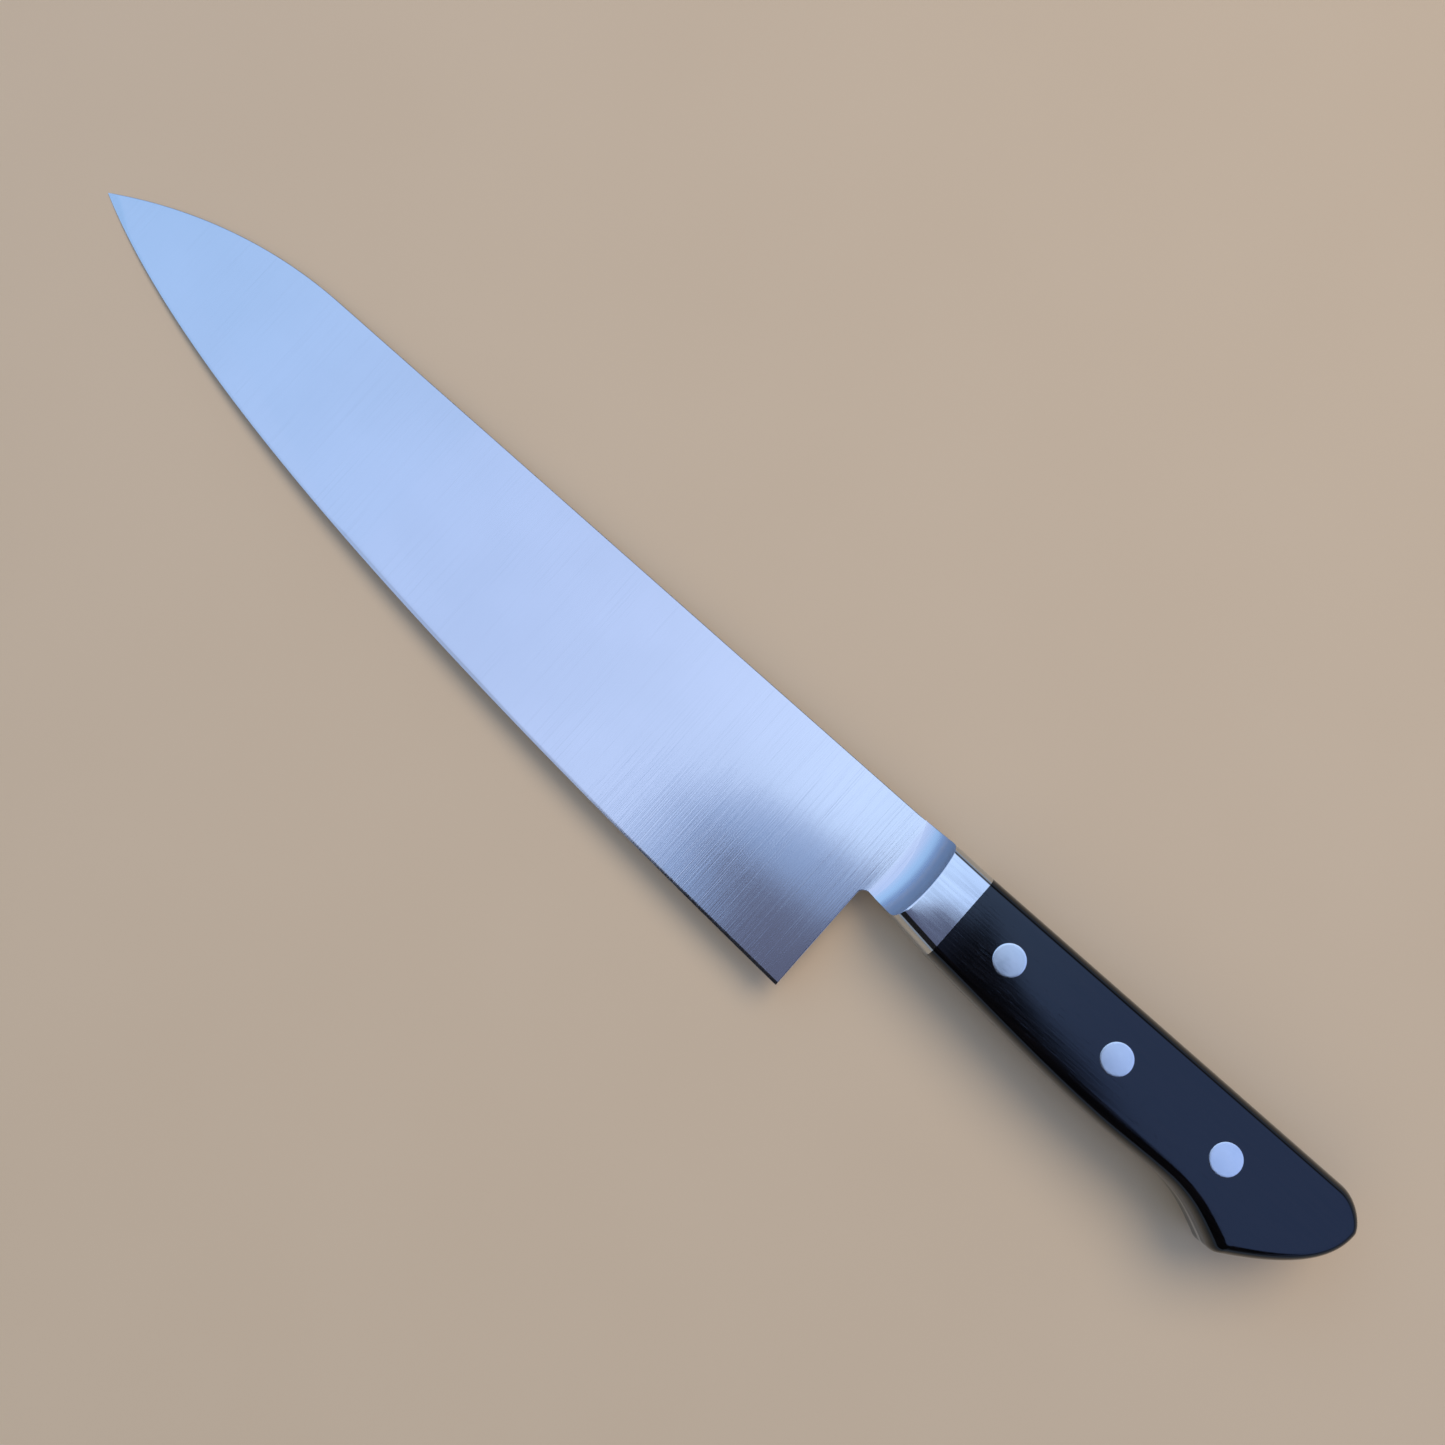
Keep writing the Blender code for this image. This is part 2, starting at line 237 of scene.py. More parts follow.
def knife_steel():
    """Straight grinding lines from spine to edge on the blade and ramp; where "polish" is 1, a brighter
    polish with fine lines along the knife."""
    made, tree, shader, place = new_material("knife_steel")
    polish = Wire(tree).node("ShaderNodeAttribute", {"attribute_name": "polish"}, output=2)
    fine = noise(tree, place, (0.18 * MM, 30 * MM, 30 * MM), 2, 0.55)
    lines = noise(tree, place, (0.34 * MM, 45 * MM, 45 * MM), 2, 0.55)
    crossed = noise(tree, place, (16 * MM, 0.3 * MM, 9 * MM), 2, 0.5)
    cloud = noise(tree, place, (34 * MM, 26 * MM, 34 * MM), 2)
    along = noise(tree, place, (22 * MM, 0.13 * MM, 0.16 * MM), 2, 0.5)
    streaks = noise(tree, place, (30 * MM, 1.1 * MM, 1.3 * MM), 3, 0.55)
    buffed = noise(tree, place, (11 * MM, 3.5 * MM, 4 * MM), 2)
    scored = fine.between(0.56, 0.72) * 0.7 + lines.between(0.56, 0.7) * 0.2
    tone = mix(tree, cloud.between(0.3, 0.7), (0.605, 0.62, 0.635, 1), (0.64, 0.65, 0.665, 1))
    tone = mix(tree, scored * 0.22, tone, (0.50, 0.51, 0.54, 1))
    bright = mix(tree, buffed.between(0.3, 0.7), (0.54, 0.58, 0.61, 1), (0.60, 0.64, 0.67, 1))
    bright = mix(tree, streaks.between(0.42, 0.62) * 0.35, bright, (0.47, 0.505, 0.535, 1))
    hollow = Wire(tree).node("ShaderNodeAttribute", {"attribute_name": "hollow"}, output=2)
    satin = 0.1 + scored * 0.1 + cloud.between(0.35, 0.7) * 0.02 + hollow * 0.2
    mirror = 0.07 + streaks.between(0.4, 0.7) * 0.05
    ground = fine * 0.8 + lines * 0.12 + crossed * 0.05
    pulled = along * 0.03 + streaks * 0.07
    feed(
        tree,
        shader,
        Base_Color=mix(tree, polish, tone, bright),
        Metallic=1.0,
        Roughness=satin + (mirror - satin) * polish,
        Normal=bump(tree, ground + (pulled - ground) * polish, 0.014 * MM),
    )
    return made


def rivet_steel():
    """Ground flush with the wood, with faint lines one way and a soft polish over them."""
    made, tree, shader, place = new_material("rivet_steel")
    lines = noise(tree, place, (4 * MM, 0.18 * MM, 2 * MM), 2, 0.5)
    cloud = noise(tree, place, (3 * MM, 2.2 * MM, 2 * MM), 2)
    tone = mix(tree, cloud.between(0.3, 0.7), (0.62, 0.68, 0.69, 1), (0.70, 0.755, 0.76, 1))
    feed(
        tree,
        shader,
        Base_Color=tone,
        Metallic=1.0,
        Roughness=0.2 + cloud.between(0.35, 0.7) * 0.05,
        Normal=bump(tree, lines, 0.0035 * MM),
    )
    return made


def black_wood():
    """Resin-soaked laminated wood: near black, with fine grain along the handle and a buffed gloss."""
    made, tree, shader, place = new_material("black_laminated_wood")
    grain = noise(tree, place, (16 * MM, 0.6 * MM, 0.6 * MM), 4, 0.6)
    pores = noise(tree, place, (3.2 * MM, 0.18 * MM, 0.25 * MM), 2, 0.5)
    cloud = noise(tree, place, (26 * MM, 9 * MM, 9 * MM), 2)
    pitted = pores.between(0.64, 0.76)
    tone = mix(tree, grain.between(0.35, 0.7), (0.0009, 0.0008, 0.0009, 1), (0.0032, 0.0024, 0.0024, 1))
    tone = mix(tree, pitted * 0.6, tone, (0.0005, 0.0005, 0.0005, 1))
    feed(
        tree,
        shader,
        Base_Color=tone,
        Roughness=0.07 + grain.between(0.35, 0.75) * 0.03 + cloud.between(0.3, 0.7) * 0.015 + pitted * 0.1,
        IOR=1.55,
        Specular_Tint=(0.68, 0.83, 1.0, 1),
        Normal=bump(tree, grain * 0.8 - pitted * 0.2, 0.005 * MM),
    )
    return made


def curve(start, start_pull, end_pull, end, steps):
    """Points of a smooth curve, without its last one."""
    return [p.to_2d() for p in interpolate_bezier(start, start_pull, end_pull, end, steps + 1)][:-1]


def direction(angle):
    return Vector((math.cos(angle), math.sin(angle)))


def spine_y(x):
    """Height of the blade's spine, which curves down to the tip on a round arc."""
    radius = (POINT_RUN**2 + POINT_DROP**2) / (2 * POINT_DROP)
    ahead = max(TIP_X + POINT_RUN - x, 0)
    return SPINE_Y - radius + math.sqrt(radius**2 - ahead**2)


def edge_line():
    """(xs, ys) along the cutting edge."""
    tip = Vector((TIP_X, SPINE_Y - POINT_DROP))
    heel = Vector((HEEL_X, HEEL_Y))
    tip_pull = tip + direction(-EDGE_ANGLE_TIP) * 0.18 * BLADE_LENGTH
    heel_pull = heel - direction(-EDGE_ANGLE_HEEL) * 0.54 * BLADE_LENGTH
    points = curve(tip, tip_pull, heel_pull, heel, 400) + [heel]
    return np.array(points).T


def neck_edges(x):
    """(underside, top) of the neck and bolster."""
    start = HEEL_X + CHOIL_RADIUS
    along = max((x - start) / (SEAM_X - start), 0)
    return SPINE_Y - NECK_HEIGHT - (SEAM_HEIGHT - NECK_HEIGHT) * along, SPINE_Y - SEAM_STEP * along


def handle_outline(roll):
    """(top, underside) as lines of (x, y) from the seam to the butt; roll 0 is the rim, 1 the border of
    the flat."""
    right, up, roll = Vector((1, 0)), Vector((0, 1)), max(roll, 0)
    spine, belly, butt = SPINE_ROLL * roll, BELLY_ROLL * roll, BUTT_ROLL * roll
    beak_x, beak_y = BUTT_X - BUTT_TO_BEAK, SPINE_Y - BEAK_HEIGHT
    seam_top = Vector((SEAM_X, SPINE_Y - SEAM_STEP - spine))
    top_end = Vector((BUTT_X - CORNER_RUN - butt / 2, SPINE_Y - spine))
    rear = Vector((BUTT_X - butt, SPINE_Y - BUTT_DROP))
    beak_rear = Vector((beak_x - butt / 3, beak_y + 0.85 * belly))
    beak_width = BEAK_WIDTH * (1 - 0.3 * roll)
    beak_front = Vector((beak_x - beak_width, beak_y - BEAK_HOOK * BEAK_WIDTH + belly))
    waist = Vector((BUTT_X - BUTT_TO_WAIST, SPINE_Y - WAIST_HEIGHT + belly))
    fullest = Vector((SEAM_X + BELLY_FROM_SEAM, SPINE_Y - BELLY_HEIGHT + belly))
    seam_under = Vector((SEAM_X, SPINE_Y - SEAM_HEIGHT + belly))

    corner, back, rise = rear - top_end, beak_rear - rear, waist - beak_front
    dip, front = fullest - waist, seam_under - fullest
    slope = direction(BACK_SLOPE) * BUTT_TO_BEAK
    hook = Vector((0.45, -0.3)) * BEAK_WIDTH
    lift = rise * 0.3 + up * rise.y * 0.2
    top = [seam_top] + curve(top_end, top_end + right * corner.x * 0.55, rear - up * corner.y * 0.3, rear, 60)
    under = curve(rear, rear + up * back.y * 0.37, beak_rear + slope * 0.7, beak_rear, 80)
    under += curve(beak_rear, beak_rear - slope * 0.08, beak_front + hook, beak_front, 50)
    under += curve(beak_front, beak_front + lift, waist - right * rise.x * 0.45, waist, 60)
    under += curve(waist, waist + right * dip.x * 0.35, fullest - right * dip.x * 0.35, fullest, 20)
    under += curve(fullest, fullest + right * front.x * 0.35, seam_under - front * 0.3, seam_under, 50)
    return np.array(top + [rear]), np.array(under + [seam_under])[::-1]


HANDLE_STATIONS = [1 - (1 - t) ** 1.7 for t in np.linspace(0, 1, 190)]


def handle_stations(roll):
    """[(x, underside, top)] along the handle, closer together towards the butt."""
    top, under = handle_outline(roll)
    reach = top[-1][0] - SEAM_X
    found = []
    for share in HANDLE_STATIONS:
        x = SEAM_X + reach * share
        found.append((x, float(np.interp(x, *under.T)), float(np.interp(x, *top.T))))
    found[-1] = (top[-1][0], top[-1][1], top[-1][1])
    return found


def roll_shares(steps):
    """Shares of the roll from its foot to the flat, closer together where it turns. The first is below 0:
    the foot of the upright side, at the tang's face."""
    foot = HALF_BLADE / (HALF_HANDLE - ROLL_DEPTH) - 1
    angles = [math.pi / 2 * i / steps for i in range(steps + 1)]
    return [foot] + [1 - max(math.cos(a), 0) ** (2 / ROLL_POWER) for a in angles]


def roll_height(share):
    """Height off the mid plane at this share of the roll."""
    rise = (1 - (1 - max(share, 0)) ** ROLL_POWER) ** (1 / ROLL_POWER)
    return (HALF_HANDLE - ROLL_DEPTH) * min(1 + share, 1) + ROLL_DEPTH * rise


def add_piece(name, points, faces, material, attributes=None):
    """An object with outward faces from points and faces; attributes hold one number for each point."""
    mesh = bpy.data.meshes.new(name)
    mesh.from_pydata([tuple(p) for p in points], [], faces)
    for label, values in (attributes or {}).items():
        mesh.attributes.new(label, "FLOAT", "POINT").data.foreach_set("value", values)
    mesh.materials.append(material)
    made = bpy.data.objects.new(name, mesh)
    bpy.context.scene.collection.objects.link(made)
    return made


def finish_mesh(obj, merge=1e-6, sharp=35):
    """Merges doubles, turns the faces outward and shades the rounds smooth."""
    builder = bmesh.new()
    builder.from_mesh(obj.data)
    bmesh.ops.remove_doubles(builder, verts=builder.verts, dist=merge)
    bmesh.ops.recalc_face_normals(builder, faces=builder.faces)
    builder.to_mesh(obj.data)
    builder.free()
    obj.data.shade_smooth()
    obj.data.set_sharp_from_angle(angle=math.radians(sharp))
    return obj


def new_rule(name, inputs):
    """A geometry tree with these named inputs: (the group, its start Wire, {input: Wire})."""
    group = bpy.data.node_groups.new(name, "GeometryNodeTree")
    group.interface.new_socket("Geometry", in_out="OUTPUT", socket_type="NodeSocketGeometry")
    group.interface.new_socket("Geometry", in_out="INPUT", socket_type="NodeSocketGeometry")
    kinds = {float: "NodeSocketFloat", int: "NodeSocketInt", tuple: "NodeSocketVector"}
    for label, value in inputs.items():
        kind = kinds.get(type(value), "NodeSocketMaterial")
        group.interface.new_socket(label, in_out="INPUT", socket_type=kind)
    entry = group.nodes.new("NodeGroupInput")
    sockets = {label: Wire(group, entry.outputs[label]) for label in ("Geometry", *inputs)}
    return group, Wire(group), sockets


def end_rule(group, geometry, material):
    """Realises the instances, sets the material and ends the tree."""
    real = geometry.node("GeometryNodeRealizeInstances", {}, {"Geometry": geometry})
    painted = real.node("GeometryNodeSetMaterial", {}, {"Geometry": real, "Material": material})
    exit_node = group.nodes.new("NodeGroupOutput")
    group.links.new(painted.socket, exit_node.inputs[0])


def bake_rule(obj, group, inputs):
    """Runs the tree on the object with these inputs and leaves the result as its plain mesh."""
    modifier = obj.modifiers.new(group.name, "NODES")
    modifier.node_group = group
    for item in group.interface.items_tree:
        if item.in_out == "INPUT" and item.name in inputs:
            modifier[item.identifier] = inputs[item.name]
    graph = bpy.context.evaluated_depsgraph_get()
    baked = bpy.data.meshes.new_from_object(obj.evaluated_get(graph))
    obj.modifiers.remove(modifier)
    obj.data = baked
    return obj


def named(start, label):
    return start.node("GeometryNodeInputNamedAttribute", {"data_type": "FLOAT"}, {"Name": label})


def lift(geometry, height):
    """The geometry with each point's z set to height."""
    place = geometry.node("GeometryNodeInputPosition")
    xyz = place.node("ShaderNodeSeparateXYZ", {}, {0: place})
    split = xyz.socket.node
    x, y = Wire(geometry.tree, split.outputs[0]), Wire(geometry.tree, split.outputs[1])
    moved = geometry.node("ShaderNodeCombineXYZ", {}, {0: x, 1: y, 2: height})
    return geometry.node("GeometryNodeSetPosition", {}, {"Geometry": geometry, "Position": moved})


GRIND = {
    "Half Thickness": HALF_BLADE,
    "Half At Flat End": HALF_FLAT_END,
    "Half At Point": HALF_POINT,
    "Fall": (HALF_BLADE - 0.1 * MM) / (SPINE_Y - HEEL_Y),
    "Swell": 0.07 * MM,
    "Edge Half": 0.02 * MM,
    "Bevel Slope": 0.13,
    "Rounding": 0.32 * MM,
    "Ramp Length": RAMP_LENGTH,
    "Ramp Height": RAMP_HEIGHT,
    "Ramp Power": RAMP_POWER,
    "Middle": MID_Z,
}


def ramp_climb(x, y):
    """How far this place is behind the line where the hollow ramp starts, which bows to the handle."""
    bow = CREST_RADIUS - RAMP_LENGTH * CREST_SHARE
    under, top = neck_edges(CREST_X)
    middle = (under + top) / 2 + (BELLY_ROLL - SPINE_ROLL) / 2
    return max(math.hypot(x - RAMP_X + bow, y - middle) - bow, 0)


def ramp_ease(x):
    """The ramp fades in over the first of the neck, so that the blade's back edge stays flat."""
    share = min(max((x - HEEL_X) / RAMP_FADE, 0), 1)
    return share * share * (3 - 2 * share)


def ramp_height(x, y):
    """Half thickness of the steel on the ramp."""
    along = min(ramp_climb(x, y) / RAMP_LENGTH, 0.9999)
    rise = 1 - (1 - along**RAMP_POWER) ** (1 / RAMP_POWER)
    return HALF_BLADE - GRIND["Fall"] * (SPINE_Y - y) + RAMP_HEIGHT * rise * ramp_ease(x)


def ramp_at(height, y):
    """The x where the ramp is this high."""
    low, high = HEEL_X, SEAM_X
    for _ in range(40):
        middle = (low + high) / 2
        low, high = (middle, high) if ramp_height(middle, y) < height else (low, middle)
    return low


def grind_rule():
    """The blade's faces over its flat side view: flat ground with a slight swell, a sharpened bevel,
    rounded spine, back and choil, and the foot of the bolster's ramp."""
    group, start, given = new_rule("Blade grind", {**GRIND, "Material": None})
    drop, reach, share, inset, along, ahead, side = (
        named(start, label) for label in ("drop", "reach", "share", "inset", "along", "ahead", "side")
    )
    half_spine = given["Half Thickness"] + (given["Half At Flat End"] - given["Half Thickness"]) * along
    half_spine = half_spine + (given["Half At Point"] - given["Half At Flat End"]) * ahead
    face = half_spine - given["Fall"] * drop * (1 + ahead * 0.2)
    swell = given["Swell"] * share * (1 - share) * 4 * named(start, "swelling")
    face = (face + swell).at_least(0.1 * MM)
    face = face.at_most(given["Edge Half"] + reach * given["Bevel Slope"])
    climb = (named(start, "climb") / given["Ramp Length"]).at_most(0.9)
    power = given["Ramp Power"]
    rise = given["Ramp Height"] * (1 - (1 - climb**power) ** power**-1.0) * named(start, "ease")
    face = (face + rise).at_most(given["Half Thickness"])
    radius = (given["Rounding"] * named(start, "eased")).at_most(face * 0.85)
    into = radius - inset.at_most(radius)
    face = face - radius + (radius**2 - into**2).at_least(0.0).math("SQRT")
    end_rule(group, lift(given["Geometry"], given["Middle"] + face * side), given["Material"])
    return group


def blade_columns():
    """The blade, neck and tang as columns of (x, y) from underside to spine, and how many rows lie
    below the choil."""
    edge_xs, edge_ys = edge_line()
    low_share = (CHOIL_Y - HEEL_Y) / (SPINE_Y - HEEL_Y)
    near = [v * MM for v in (0, 0.03, 0.08, 0.15, 0.24, 0.34, 0.5, 0.8, 1.2, 1.7)]
    low_steps, high_steps = 24, 16

    def low_rows(bottom, height):
        scale = min(1, height / (20 * MM))
        first = [0, SHARPENED * 0.5 * scale, SHARPENED * scale, (SHARPENED + 0.06 * MM) * scale]
        rest = np.linspace(first[-1], low_share * height, low_steps)[1:-1]
        return [bottom + r for r in (*first, *rest)]

    def high_rows(bottom, top):
        scale = min(1, (top - bottom) / (9 * MM))
        foot = [bottom + n * scale for n in near]
        head = [top - n * scale for n in reversed(near[:7])]
        return foot + list(np.linspace(foot[-1], head[0], high_steps)[1:-1]) + head

    columns = []
    back = [v * MM for v in (2.2, 1.5, 1.0, 0.7, 0.5, 0.34, 0.24, 0.15, 0.08, 0.03, 0)]
    front = [TIP_X + 0.12 * MM + (HEEL_X - 3 * MM - TIP_X) * t**1.35 for t in np.linspace(0, 1, 210)]
    for x in front + [HEEL_X - b for b in back]:
        bottom, top = float(np.interp(x, edge_xs, edge_ys)), spine_y(x)
        height = top - bottom
        ys = low_rows(bottom, height) + high_rows(bottom + low_share * height, top)
        columns.append([(x, y) for y in ys])
    low = len(low_rows(0, 1))
    centre = Vector((HEEL_X + CHOIL_RADIUS, CHOIL_Y))
    for i in range(1, 15):
        x, y = centre + direction(math.pi * (1 - i / 28)) * CHOIL_RADIUS
        columns.append([(x, r) for r in high_rows(y, SPINE_Y)])
    for x in np.linspace(HEEL_X + CHOIL_RADIUS, SEAM_X, 42)[1:-1]:
        columns.append([(x, r) for r in high_rows(*neck_edges(x))])
    for x, under, top in handle_stations(0)[:-1]:
        columns.append([(x, r) for r in high_rows(under, top)])
    return columns, low


def inset_of(x, y):
    """Distance from the rounded part of the outline: spine, back edge, choil and neck."""
    centre = Vector((HEEL_X + CHOIL_RADIUS, CHOIL_Y))
    spine = (spine_y(x) - y) * math.cos(min(max(TIP_X + POINT_RUN - x, 0) / SPINE_TURN, 0.6))
    if y < CHOIL_Y:
        rear = HEEL_X - x
    elif x < centre.x:
        rear = (Vector((x, y)) - centre).length - CHOIL_RADIUS
    else:
        rear = y - neck_edges(x)[0]
    return max(min(spine, rear), 0)


def make_blade(material):
    """Blade, neck and tang: one closed skin, laid out flat and then raised by the grind."""
    columns, low = blade_columns()
    rows = len(columns[0])
    points, index = [], {}
    values = {k: [] for k in "drop reach share inset along ahead side swelling climb ease eased".split()}
    for side in (1, -1):
        for i, column in enumerate(columns):
            first = rows - len(column)
            bottom, top = column[0][1], column[-1][1]
            in_handle = column[0][0] > SEAM_X - 1e-6
            for j, (x, y) in enumerate(column):
                index[side, i, first + j] = len(points)
                points.append((x, y, MID_Z))
                values["drop"].append(0 if in_handle else (spine_y(x) - y))
                values["reach"].append(y - bottom if first == 0 else 1.0)
                values["share"].append((y - bottom) / (top - bottom))
                values["inset"].append(1.0 if in_handle else inset_of(x, y))
                values["along"].append(min(max((HEEL_X - x) / FLAT_LENGTH, 0), 1))
                values["ahead"].append(max((FLAT_END_X - x) / (FLAT_END_X - TIP_X), 0))
                values["side"].append(side)
                values["swelling"].append(min(max((HEEL_X - SWELL_START - x) / SWELL_RUN, 0), 1))
                values["climb"].append(ramp_climb(x, y))
                values["ease"].append(ramp_ease(x))
                values["eased"].append(min(max((RAMP_X + FOOT_FADE / 2 - x) / FOOT_FADE, 0.06), 1))
    faces = []
    for side in (1, -1):
        for i in range(len(columns) - 1):
            for j in range(rows - 1):
                corners = [(side, i, j), (side, i + 1, j), (side, i + 1, j + 1), (side, i, j + 1)]
                if all(c in index for c in corners):
                    faces.append([index[c] for c in corners])
    heel = max(i for i, column in enumerate(columns) if len(column) == rows)
    last = len(columns) - 1
    rim = [(i, 0) for i in range(heel + 1)] + [(heel, j) for j in range(1, low + 1)]
    rim += [(i, low) for i in range(heel + 1, last + 1)] + [(last, j) for j in range(low + 1, rows)]
    rim += [(i, rows - 1) for i in range(last - 1, -1, -1)] + [(0, j) for j in range(rows - 2, 0, -1)]
    for (a, b), (c, d) in zip(rim, rim[1:] + rim[:1]):
        faces.append([index[1, a, b], index[-1, a, b], index[-1, c, d], index[1, c, d]])
    piece = add_piece("ground_blade", points, faces, material, values)
    bake_rule(piece, grind_rule(), {**GRIND, "Material": material})
    return finish_mesh(piece, 1e-7, 40)


def make_bolster(name, side, material):
    """One bolster half: hollow ramp, crisp bowed crest, and a land rolled over at both sides."""
    rolls = roll_shares(16)
    flat_steps = 16
    rows = [("belly", share) for share in rolls]
    rows += [("flat", i / flat_steps) for i in range(1, flat_steps)]
    rows += [("spine", share) for share in reversed(rolls)]

    def row_at(row, x):
        kind, share = row
        under, top = neck_edges(x)
        low, high = under + BELLY_ROLL, top - SPINE_ROLL
        if kind == "belly":
            return under + BELLY_ROLL * max(share, 0), roll_height(share)
        if kind == "spine":
            return top - SPINE_ROLL * max(share, 0), roll_height(share)
        return low + (high - low) * share, HALF_HANDLE

    ramp = [math.sin(math.pi / 2 * i / 30) for i in range(31)]
    broken = [(0.02 * MM, 0.03 * MM), (0.06 * MM, 0.01 * MM), (0.12 * MM, 0)]
    land = [0.05, 0.15, 0.35, 0.6, 0.8, 1]
    points, polish, hollow, width = [], [], [], len(ramp) + len(broken) + len(land)
    for row in rows:
        y, height = row_at(row, CREST_X)
        foot, crest = ramp_at(HALF_BLADE, y), ramp_at(height, y)
        for share in ramp:
            x = foot + (crest - foot) * share
            z = HALF_BLADE if share == 0 else ramp_height(x, y)
            z = min(z, height - 0.06 * MM if height > 2 * HALF_BLADE else height)
            points.append((x, row_at(row, x)[0], MID_Z + side * z))
            polish.append(0.0)
            hollow.append(min(share * 1.5, 1))
        for back, drop in broken:
            z = height - drop if height > 2 * HALF_BLADE else height
            points.append((crest + back, row_at(row, crest + back)[0], MID_Z + side * z))
            polish.append(0.5)
            hollow.append(0.5)
        for share in land:
            x = crest + (SEAM_X - HAIRLINE / 2 - crest) * share
            points.append((x, row_at(row, x)[0], MID_Z + side * height))
            polish.append(1.0)
            hollow.append(0.0)
    faces = []
    for j in range(len(rows) - 1):
        for i in range(width - 1):
            a = j * width + i
            faces.append([a, a + 1, a + 1 + width, a + width])
    last = (len(rows) - 1) * width
    faces.append([j * width + width - 1 for j in range(len(rows))])
    foot_line = [j * width for j in range(len(rows))]
    faces.append(list(range(width - 1, 0, -1)) + foot_line + list(range(last + 1, last + width)))
    piece = add_piece(name, points, faces, material, {"polish": polish, "hollow": hollow})
    return finish_mesh(piece, 2e-6, 34)


ROLL = {
    "Half Handle": HALF_HANDLE,
    "Roll Depth": ROLL_DEPTH,
    "Roll Power": ROLL_POWER,
    "Crown": CROWN,
    "Middle": MID_Z,
    "Side": 1.0,
}


def roll_rule():
    """The handle's side over its flat outline: an oval roll at the rim and a slight crown between."""
    group, start, given = new_rule("Handle roll", {**ROLL, "Material": None})
    power, depth, roll = given["Roll Power"], given["Roll Depth"], named(start, "roll")
    away = (1 - roll.at_least(0.0)).at_least(0.0)
    rise = (1 - away**power).at_least(0.0) ** power**-1.0
    height = (given["Half Handle"] - depth) * (roll + 1).at_most(1.0) + depth * rise
    height = height + given["Crown"] * named(start, "crown")
    end_rule(group, lift(given["Geometry"], given["Middle"] + height * given["Side"]), given["Material"])
    return group


def make_scale(name, side, rule, material):
    """One handle scale from the seam to the butt, rounded over at the spine, belly, beak and butt."""
    rolls = roll_shares(16)
    rings = [handle_stations(share) for share in rolls]
    flat = rings[-1]
    flat_steps = 20
    columns = []
    for i, share in enumerate(HANDLE_STATIONS):
        column = [(ring[i][0], ring[i][1], roll, 0.0) for ring, roll in zip(rings, rolls)]
        swell = min(share / 0.2, 1) * min((1 - share) / 0.1, 1)
        swell = swell * swell * (3 - 2 * swell)
        for k in range(1, flat_steps):
            v = k / flat_steps
            x, under, top = flat[i]
            column.append((x, under + (top - under) * v, 1.0, swell * (4 * v * (1 - v)) ** 1.5))
        back = zip(reversed(rings), reversed(rolls))
        column += [(ring[i][0], ring[i][2], roll, 0.0) for ring, roll in back]
        columns.append(column)
    columns[0] = [(x + HAIRLINE / 2, y, roll, crown) for x, y, roll, crown in columns[0]]
    height = len(columns[0])
    points = [(x, y, MID_Z) for column in columns for x, y, _, _ in column]
    faces = []
    for i in range(len(columns) - 1):
        for j in range(height - 1):
            a = i * height + j
            faces.append([a, a + height, a + height + 1, a + 1])
    faces.append(list(range(height)))
    ends = [i * height for i in range(len(columns))]
    faces.append(ends + [e + height - 1 for e in reversed(ends[:-1])])
    values = {
        "roll": [roll for column in columns for _, _, roll, _ in column],
        "crown": [crown for column in columns for _, _, _, crown in column],
    }
    piece = add_piece(name, points, faces, material, values)
    bake_rule(piece, rule, {**ROLL, "Side": float(side), "Material": material})
    return finish_mesh(piece, 3e-6, 50)


def rivet_row_rule():
    """Copies of one rivet head at even steps along the handle."""
    inputs = {"Count": 3, "First": (0, 0, 0), "Step": (0, 0, 0), "Material": None}
    group, start, given = new_rule("Rivet row", inputs)
    sites = start.node(
        "GeometryNodeMeshLine",
        {"mode": "OFFSET"},
        {"Count": given["Count"], "Start Location": given["First"], "Offset": given["Step"]},
    )
    row = start.node("GeometryNodeInstanceOnPoints", {}, {"Points": sites, "Instance": given["Geometry"]})
    end_rule(group, row, given["Material"])
    return group


def make_rivets(name, side, rule, material):
    """The rivet heads of one side: pressed flush, with a broken edge and a faint dome."""
    radius = HEAD_DIAMETER / 2 - HEAD_TRIM
    top = CROWN + 0.05 * MM
    profile = [(0, -HEAD_DEPTH), (radius, -HEAD_DEPTH), (radius, top - 0.16 * MM)]
    profile += [(radius - 0.03 * MM, top - 0.09 * MM), (radius - 0.1 * MM, top - 0.04 * MM)]
    dome = (0.05, 0.15, 0.3, 0.5, 0.7, 0.85, 1)
    profile += [(radius * (1 - t), top - 0.03 * MM * (1 - t) ** 2) for t in dome]
    builder = bmesh.new()
    verts = [builder.verts.new((r, 0, side * (HALF_HANDLE + z))) for r, z in profile]
    edges = [builder.edges.new(pair) for pair in zip(verts, verts[1:])]
    around = {"axis": (0, 0, 1), "cent": (0, 0, 0), "angle": math.tau, "steps": 96}
    bmesh.ops.spin(builder, geom=verts + edges, use_duplicate=False, **around)
    bmesh.ops.remove_doubles(builder, verts=builder.verts, dist=1e-6)
    mesh = bpy.data.meshes.new(name)
    builder.to_mesh(mesh)
    builder.free()
    piece = bpy.data.objects.new(name, mesh)
    bpy.context.scene.collection.objects.link(piece)
    first = (SEAM_X + RIVET_FROM_SEAM, SPINE_Y - RIVET_DROP, MID_Z)
    step = (RIVET_SPACING, -RIVET_FALL, 0.0)
    inputs = {"Count": RIVET_COUNT, "First": first, "Step": step, "Material": material}
    bake_rule(piece, rule, inputs)
    return finish_mesh(piece, 1e-7, 50)


